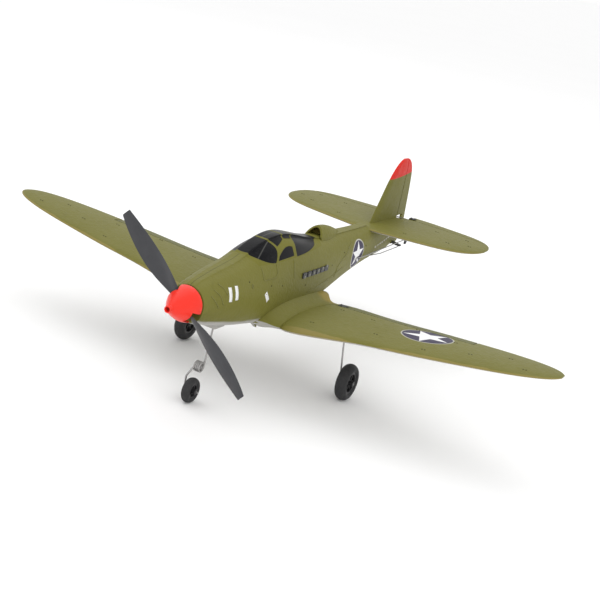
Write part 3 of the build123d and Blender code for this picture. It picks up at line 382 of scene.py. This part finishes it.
wing_paint = foam_finish("wing_paint")
underside(wing_paint, -0.25)
st, sd = wing_paint.station(), wing_paint.side()
behind = st - leading_edge(wing_paint, 91.9, 0.082, 128.5, 201.0, 10.0)
patchy = wing_paint.noise(85.0, 3.0) * 2.6 - 1.3
worn_width, worn_from = 1.0, 24.0
worn = (behind + patchy).below(worn_width, 0.6) * ((sd - worn_from) * 0.05).clamp()
wing_paint.tint = wing_paint.blend(worn * 0.6, wing_paint.tint, BARE_FOAM)
# A painted pool of light: an ochre patch where the wing root meets the body near the trailing edge.
root_station, root_side = 187.0, 21.0
root_y = (st - root_station) * 0.7
root_x = sd - root_side
lit_spot_distance = (root_x * root_x + root_y * root_y) ** 0.5
wing_paint.tint = wing_paint.blend(lit_spot_distance.below(9.0, 7.0) * 0.7, wing_paint.tint, (0.33, 0.235, 0.03))
only_left = (wing_paint.x * 1000.0).math("GREATER_THAN", 0.0)
upper = wing_paint.lean().math("GREATER_THAN", 0.0) * only_left
disc_side, disc_station, disc_radius, star_reach = 110.1, 138.8, 16.2, 15.6
disc_x, disc_y = sd - disc_side, (st - disc_station) * -1.0
ring = (disc_x * disc_x + disc_y * disc_y) ** 0.5
wing_paint.tint = wing_paint.blend(ring.below(disc_radius + 0.8, 0.5) * upper * 0.45, wing_paint.tint, WHITE)
wing_paint.tint = wing_paint.blend(ring.below(disc_radius, 0.4) * upper, wing_paint.tint, NAVY)
star = star_mask(disc_x, disc_y, star_reach)
wing_paint.tint = wing_paint.blend(star * upper, wing_paint.tint, WHITE)
finish_foam(wing_paint)
dress(wing_paint, "wing_left", "wing_right")

# The ailerons' olive is darker than the wing's: painted shade for their surfaces, which slope down behind the
# hinge line.
aileron_shaded_paint = foam_finish("aileron_shaded_paint", (0.105, 0.108, 0.026))
underside(aileron_shaded_paint, -0.25)
finish_foam(aileron_shaded_paint)
dress(aileron_shaded_paint, "aileron_left", "aileron_right")


# ---- Tailplane, fin and their hinged surfaces ----
# Thin moulded foam surfaces in the same olive, glued into slots in the body. The
# tip of the fin and rudder is masked off and sprayed red.
tail_paint = foam_finish("tail_paint")
underside(tail_paint, -0.35)
behind = tail_paint.station() - leading_edge(tail_paint, 272.3, 0.221, 323.9, 83.4, 7.5)
worn = (behind + tail_paint.noise(110.0, 3.0) * 2.2 - 1.1).below(1.2, 0.5)
tail_paint.tint = tail_paint.blend(worn * 0.45, tail_paint.tint, BARE_FOAM)
finish_foam(tail_paint)
dress(tail_paint, "stabiliser", "elevator_left", "elevator_right")

fin_paint = foam_finish("fin_paint")
red_from, red_slope = 30.1, 0.065
cap_line = fin_paint.level() - fin_paint.station() * red_slope
olive = cap_line.below(red_from, 0.4)
fin_paint.tint = fin_paint.blend(1.0 - olive, fin_paint.tint, (0.66, 0.024, 0.014))
finish_foam(fin_paint)
dress(fin_paint, "fin", "rudder")


# ---- Canopy ----
# One foam block, glued on and painted to look glazed: a grainy black windscreen,
# olive hoops and door frame round black panes, and a smooth black rear window.
canopy_paint = foam_finish("canopy_paint")
canopy_paint.shader.inputs["Specular IOR Level"].default_value = 0.06
st, lv, sd = canopy_paint.station(), canopy_paint.level(), canopy_paint.side()
hoop_front, hoop_middle, hoop_rear = 106.4, 120.7, 129.1
hoop_half = 1.4
sill, screen_foot = 17.5, 78.6
soft = 0.3
drop = lv - 25.0
bow = drop * drop * (drop.math("GREATER_THAN", 0.0) * 0.141 + 0.075)
front_hoop = st - (bow * -1.0 + hoop_front)
rise = (lv - 21.0).most(0.0)
rear_hoop = st - (rise * rise * 0.085 + hoop_rear)
sill_front = ((100.0 - st).most(0.0) * (1 / 22.2)) ** 1.7 * 5.9 + sill
over_sill = (sill_front - lv).below(0.0, soft)
tip_room = sd * sd * 0.055 + screen_foot - st
screen = over_sill * front_hoop.below(-hoop_half, soft) * tip_room.below(0.0, soft)
door_top = lv - ((st - 107.0) * 0.21 + 25.3).least((st - 120.7) * -0.12 + 28.2)
roof = (door_top * -1.0).below(-0.4, soft) * (front_hoop * -1.0).below(-hoop_half, soft)
roof = roof * rear_hoop.below(-1.2, soft)
hoop = (st - hoop_middle).size().below(1.0, soft)
roof = roof * (1.0 - hoop)
window_top = lv - ((st - 119.8) * (st - 119.8) * -0.0235 + 24.8)
window = window_top.below(0.0, soft) * ((st - 104.0) * 0.03 + 18.2 - lv).below(0.0, soft)
window = window * st.below(125.6, soft) * (front_hoop * -1.0).below(-1.3, soft)
late = (st - 140.0).most(0.0)
rear = (late * late * 0.0028 + 17.8 - lv).below(0.0, soft) * (rear_hoop * -1.0).below(-0.8, soft)
panes = screen.most(roof).most(window).most(rear)
post = (sd - ((st - 84.2) * -0.254 + 9.3)).size().below(0.35, 0.2) * screen
ridge = (sd.below(0.3, 0.15)) * roof
speck = canopy_paint.noise(900.0, 3.0, 0.7)
grit = ((speck - 0.52) * 3.0).clamp() * screen.most(roof * 0.4)
black = canopy_paint.blend(grit * 0.4, (0.004, 0.004, 0.005), (0.055, 0.055, 0.058))
black = canopy_paint.blend(post.most(ridge) * 0.6, black, (0.10, 0.10, 0.09))
canopy_paint.tint = canopy_paint.blend(panes, canopy_paint.tint, black)
canopy_paint.colour(canopy_paint.tint)
canopy_paint.rough(0.5 - panes * 0.2 + grit * 0.2)
painted = 1.0 - panes
canopy_paint.relief(canopy_paint.grain * painted * 0.4 + painted * 1.2 + grit * 0.2, 0.0003)
dress(canopy_paint, "canopy")


# ---- Raised moulding lines ----
# Door outlines, gun bulges and panel edges stand a quarter of a millimetre
# proud of the foam, as thin ribs moulded with the skin.
def rib(path, width, plane):
    """Flat ribbon along a path of (first, second) millimetres: each point, once evenly
    spaced and smoothed, moves half a width to both sides across its direction."""
    path = np.array(path, float)
    run = np.concatenate([[0.0], np.cumsum(np.hypot(*np.diff(path, axis=0).T))])
    count = max(int(run[-1] / 0.6), 4)
    t = np.linspace(0.0, run[-1], count)
    line = np.stack([np.interp(t, run, path[:, 0]), np.interp(t, run, path[:, 1])], -1)
    for _ in range(3):
        line[1:-1] = (line[:-2] + 2 * line[1:-1] + line[2:]) / 4
    along = np.gradient(line, axis=0)
    along /= np.linalg.norm(along, axis=1, keepdims=True)
    across = np.stack([-along[:, 1], along[:, 0]], -1) * (width / 2)
    pair = np.stack([line - across, line + across], 1)
    points = np.zeros(pair.shape[:2] + (3,))
    if plane == "side":
        points[..., 1] = pair[..., 0] * MM + NOSE_TIP
        points[..., 2] = pair[..., 1] * MM + THRUST
    else:
        points[..., 0] = pair[..., 0] * MM
        points[..., 1] = pair[..., 1] * MM + NOSE_TIP
    return points


def lay_ribs(name, paths, width, height, plane, side, target, body, finish):
    """Ribs laid on a skin: flat ribbons dropped onto it along X or Z, then thickened outwards."""
    parts = []
    for path in paths:
        points = rib(path, width, plane)
        if plane == "side":
            points[..., 0] = side * 0.06
        else:
            points[..., 0] *= side
            points[..., 2] = 0.16
        flip = (side > 0) == (plane == "side")
        points, faces = grid_mesh(name, points)
        parts.append((points, faces[:, ::-1] if flip else faces))
    piece = piece_from(name, parts, body)
    wrap = piece.modifiers.new("onto_skin", "SHRINKWRAP")
    wrap.target = cad[target]
    wrap.wrap_method = "PROJECT"
    wrap.use_project_x = plane == "side"
    wrap.use_project_z = plane != "side"
    wrap.use_negative_direction = side > 0 or plane != "side"
    wrap.use_positive_direction = not wrap.use_negative_direction
    wrap.offset = -0.00004
    wall = piece.modifiers.new("thickness", "SOLIDIFY")
    wall.thickness = height
    wall.offset = 1.0
    bpy.context.view_layer.update()
    made = bpy.data.meshes.new_from_object(piece.evaluated_get(bpy.context.evaluated_depsgraph_get()))
    piece.modifiers.clear()
    piece.data = made
    dress(finish, piece)
    return piece


rib_paint = foam_finish("rib_paint", (0.175, 0.168, 0.050))
finish_foam(rib_paint, 0.0001)
side_lines = [
    [(100.6, 17.0), (100.6, 11.5), (98.0, 9.2), (84.0, 9.0)], [(83.2, 16.6), (83.6, 13.0), (83.2, 9.4)],
    [(124.2, 16.4), (123.0, 11.6), (123.2, 5.2)],
    [(222.4, 7.6), (212.0, 4.6), (202.0, 0.2), (198.8, -6.8)], [(231.0, 12.4), (222.6, 9.6)],
    [(28.0, 6.8), (31.0, 3.6), (35.0, -1.0)], [(32.0, 9.6), (36.5, 5.6), (39.0, 0.5)],
    [(37.5, 12.0), (41.0, 9.6), (43.0, 6.2)],
    [(70.0, 8.6), (69.0, 6.9), (70.6, 6.0), (71.6, 7.8), (70.0, 8.6)],
    [(150.0, -9.0), (190.0, -5.8), (214.0, -2.4)],
]
for side, name in ((1, "left"), (-1, "right")):
    lay_ribs("body_lines_" + name, side_lines, 0.5, 0.00026, "side", side, "fuselage_" + name,
             "airframe", rib_paint)
wing_lines = [
    [(60.0, 100.0), (60.0, 160.0)], [(95.0, 103.0), (95.0, 152.0)], [(140.0, 106.0), (140.0, 150.0)],
    [(30.0, 122.0), (90.0, 124.0), (190.0, 125.0)], [(32.0, 150.0), (90.0, 147.0), (176.0, 137.0)],
    [(160.0, 110.0), (168.0, 143.0)],
]
for side, name in ((1, "left"), (-1, "right")):
    lay_ribs("wing_lines_" + name, wing_lines, 0.42, 0.00016, "top", side, "wing_" + name,
             "airframe", rib_paint)
stab_lines = [[(24.0, 283.0), (26.0, 340.0)], [(50.0, 292.0), (52.0, 340.0)], [(14.0, 312.0), (70.0, 316.0)]]
for side, name in ((1, "left"), (-1, "right")):
    lay_ribs("tailplane_lines_" + name, stab_lines, 0.4, 0.00014, "top", side, "stabiliser",
             "airframe", rib_paint)


# ---- Fastener heads ----
# Small foam domes moulded in pairs over wings and tailplane and singly along the
# body, like covers over fasteners, brushed darker than the skin.
def dome(centre, normal, radius, height):
    """Low dome on a skin: its rings shrink by the cosine and rise by the sine of an
    angle that runs nearly to a quarter turn."""
    around = np.linspace(0.0, 2 * math.pi, 12, endpoint=False)
    climb = np.array([-0.3, 0.3, 0.9, 1.5])
    frame_axes = np.array(Vector(normal).to_track_quat("Z", "Y").to_matrix())
    flat = np.stack([np.outer(np.cos(climb), np.cos(around)) * radius,
                     np.outer(np.cos(climb), np.sin(around)) * radius,
                     np.repeat(np.sin(climb)[:, None], 12, 1) * height], -1)
    points = flat @ frame_axes.T + np.array(centre)
    return grid_mesh("dome", points, closed=True)


dot_paint = foam_finish("dot_paint", (0.035, 0.036, 0.012))
finish_foam(dot_paint, 0.0001)
wing_dots = [(68.8, 149.0), (98.8, 152.6), (128.2, 140.6), (144.1, 121.2), (166.0, 133.9), (179.0, 118.7),
             (44.0, 108.0), (44.0, 156.0), (84.0, 116.0), (118.0, 110.0)]
stab_dots = [(28.0, 290.0), (40.0, 330.0), (58.0, 304.0), (64.0, 334.0), (72.0, 316.0)]
heads = []
for side, name in ((1, "left"), (-1, "right")):
    for dots, target in ((wing_dots, "wing_" + name), (stab_dots, "stabiliser")):
        for x, y in dots:
            for step in (-0.9, 0.9):
                start = Vector((side * (x + step) * MM, y * MM + NOSE_TIP, 0.3))
                found, place, normal, _ = cad[target].ray_cast(start, Vector((0.0, 0.0, -1.0)))
                if found:
                    heads.append(dome(place, normal, 0.00062, 0.00028))
body_dots = [(189.3, 3.3), (143.3, -2.7), (107.4, 2.7), (92.7, 4.8), (67.6, 10.2), (214.5, 8.2), (262.0, 6.0)]
for side, name in ((1, "left"), (-1, "right")):
    for y, z in body_dots:
        start = Vector((side * 0.2, y * MM + NOSE_TIP, z * MM + THRUST))
        found, place, normal, _ = cad["fuselage_" + name].ray_cast(start, Vector((-side, 0.0, 0.0)))
        if found:
            heads.append(dome(place, normal, 0.0006, 0.0003))
fasteners = piece_from("fastener_heads", heads, "airframe")
dress(dot_paint, fasteners)


# ---- Painted marks ----
# Thin film stuck on each side: plain white bars on the nose, a short slanted bar
# behind them and a row of small grey dashes by the tail.
film = Finish("white_film", 0.5)
film.colour(film.blend(film.noise(400.0) * 0.5, WHITE, (0.7, 0.7, 0.68)))
bars = [[(46.0, 1.4), (46.5, 9.6)], [(52.4, 1.6), (52.9, 9.8)], [(86.2, 1.2), (90.6, -4.6)]]
for side, name in ((1, "left"), (-1, "right")):
    lay_ribs("nose_bars_" + name, bars, 3.0, 0.00008, "side", side, "fuselage_" + name,
             "airframe", film)
dashes = [[(286.0 + 5.6 * i, 1.0 + 0.42 * i), (289.4 + 5.6 * i, 1.25 + 0.42 * i)] for i in range(8)]
grey_film = Finish("grey_film", 0.5)
grey_film.colour(grey_film.blend(grey_film.noise(400.0) * 0.5, (0.5, 0.48, 0.42), (0.4, 0.38, 0.32)))
for side, name in ((1, "left"), (-1, "right")):
    lay_ribs("tail_dashes_" + name, dashes, 1.5, 0.00006, "side", side, "fuselage_" + name,
             "airframe", grey_film)


# ---- Exhausts ----
# Twelve short stubs moulded in black plastic and glued to the body's sides, each
# with a pale painted outlet. The small black plastic parts share their material.
black_paint = Finish("black_plastic", 0.45)
plastic_blacks = ((0.012, 0.012, 0.013), (0.03, 0.03, 0.032))
black_paint.colour(black_paint.blend(black_paint.noise(500.0), *plastic_blacks))
black_paint.relief(black_paint.noise(1500.0), 0.00008)
dress(black_paint, "exhaust_stubs", "aileron_servos", "elevator_servo", "rudder_servo", "gearbox_frame",
      "leg_sockets", "nose_hub", "main_hub_left", "main_hub_right", "wheel_collars", "elevator_horn",
      "rudder_horn", "aileron_horn_left", "aileron_horn_right")
outlet_paint = Finish("outlet_metal", 0.5)
outlet_paint.colour(outlet_paint.blend(outlet_paint.noise(700.0), (0.16, 0.16, 0.13), (0.27, 0.27, 0.22)))
outlets = []
low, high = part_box("exhaust_stubs")
stub_count = 6
stub_half = 0.0027
pitch = (high.y - low.y - 2 * stub_half) / (stub_count - 1)
for index in range(stub_count):
    for side in (-1, 1):
        start = Vector((side * 0.2, low.y + stub_half + pitch * index,
                        low.z + 0.0017 + 0.0003 * index))
        found, place, normal, _ = cad["exhaust_stubs"].ray_cast(start, Vector((-side, 0.0, 0.0)))
        if found:
            outlets.append(dome(place, normal, 0.00115, 0.0003))
outlet_piece = piece_from("exhaust_outlets", outlets, "airframe")
dress(outlet_paint, outlet_piece)


# ---- Drive ----
# Red-orange moulded spinner on a dark grey nylon propeller, with the plastic
# gearbox, nylon spur gear, brass pinion and steel can motor behind it.
spinner_paint = Finish("spinner_plastic", 0.34, spec=0.3)
spinner_reds = ((0.88, 0.030, 0.014), (0.78, 0.024, 0.012))
spinner_paint.colour(spinner_paint.blend(spinner_paint.noise(120.0) * 0.6, *spinner_reds))
spinner_paint.relief(spinner_paint.noise(900.0), 0.00006)
dress(spinner_paint, "spinner")
prop_paint = Finish("propeller_nylon", 0.42)
prop_paint.colour(prop_paint.blend(prop_paint.noise(160.0), (0.026, 0.027, 0.031), (0.042, 0.043, 0.048)))
prop_paint.relief(prop_paint.noise(800.0), 0.00008)
dress(prop_paint, "propeller")
nylon = Finish("white_nylon", 0.4)
nylon.colour(nylon.blend(nylon.noise(300.0), (0.62, 0.62, 0.6), (0.72, 0.72, 0.7)))
dress(nylon, "spur_gear", "aileron_slider_left", "aileron_slider_right", "elevator_slider", "rudder_slider")
brass = Finish("brass", 0.35, metal=1.0)
brass.colour(brass.blend(brass.noise(400.0), (0.62, 0.45, 0.17), (0.72, 0.55, 0.25)))
dress(brass, "motor_pinion", "shaft_bearings")
steel = Finish("steel", 0.33, metal=1.0)
steel.colour(steel.blend(steel.noise(600.0), (0.30, 0.295, 0.29), (0.42, 0.41, 0.40)))
steel.rough(steel.noise(900.0) * 0.2 + 0.25)
dress(steel, "propeller_screw", "propeller_shaft", "motor_shaft", "motor", "nose_leg", "main_leg_left",
      "main_leg_right", "hatch_catch", "elevator_joiner", "elevator_pushrod", "rudder_pushrod",
      "aileron_pushrod_left", "aileron_pushrod_right")


# ---- Power and radio ----
# Foil-wrapped battery, red silicone leads and a green board inside the body,
# and dark pultruded rods through the wings.
wrap_paint = Finish("battery_wrap", 0.35, metal=0.4)
wrap_paint.colour(wrap_paint.blend(wrap_paint.noise(200.0), (0.12, 0.15, 0.25), (0.2, 0.24, 0.34)))
dress(wrap_paint, "battery")
lead_paint = Finish("silicone_lead", 0.6)
lead_paint.colour(lead_paint.blend(lead_paint.noise(900.0), (0.35, 0.02, 0.015), (0.45, 0.03, 0.02)))
dress(lead_paint, "battery_lead", "motor_lead")
board_paint = Finish("green_board", 0.4)
board_paint.colour(board_paint.blend(board_paint.noise(700.0), (0.01, 0.12, 0.05), (0.02, 0.2, 0.08)))
dress(board_paint, "receiver_board")
rod_paint = Finish("rod_composite", 0.4)
rod_paint.colour(rod_paint.blend(rod_paint.noise(1500.0), (0.015, 0.015, 0.017), (0.04, 0.04, 0.043)))
dress(rod_paint, "wing_spars")


# ---- Tyres ----
# Soft black foam rubber rings, pressed over the moulded hubs, with a fine open
# grain on the tread and sides.
tyre_paint = Finish("tyre_rubber", 0.72, spec=0.3)
tyre_paint.colour(tyre_paint.blend(tyre_paint.noise(500.0), (0.022, 0.022, 0.023), (0.045, 0.045, 0.046)))
tyre_paint.relief(tyre_paint.cells(1800.0), 0.00012)
dress(tyre_paint, "nose_tyre", "main_tyre_left", "main_tyre_right")
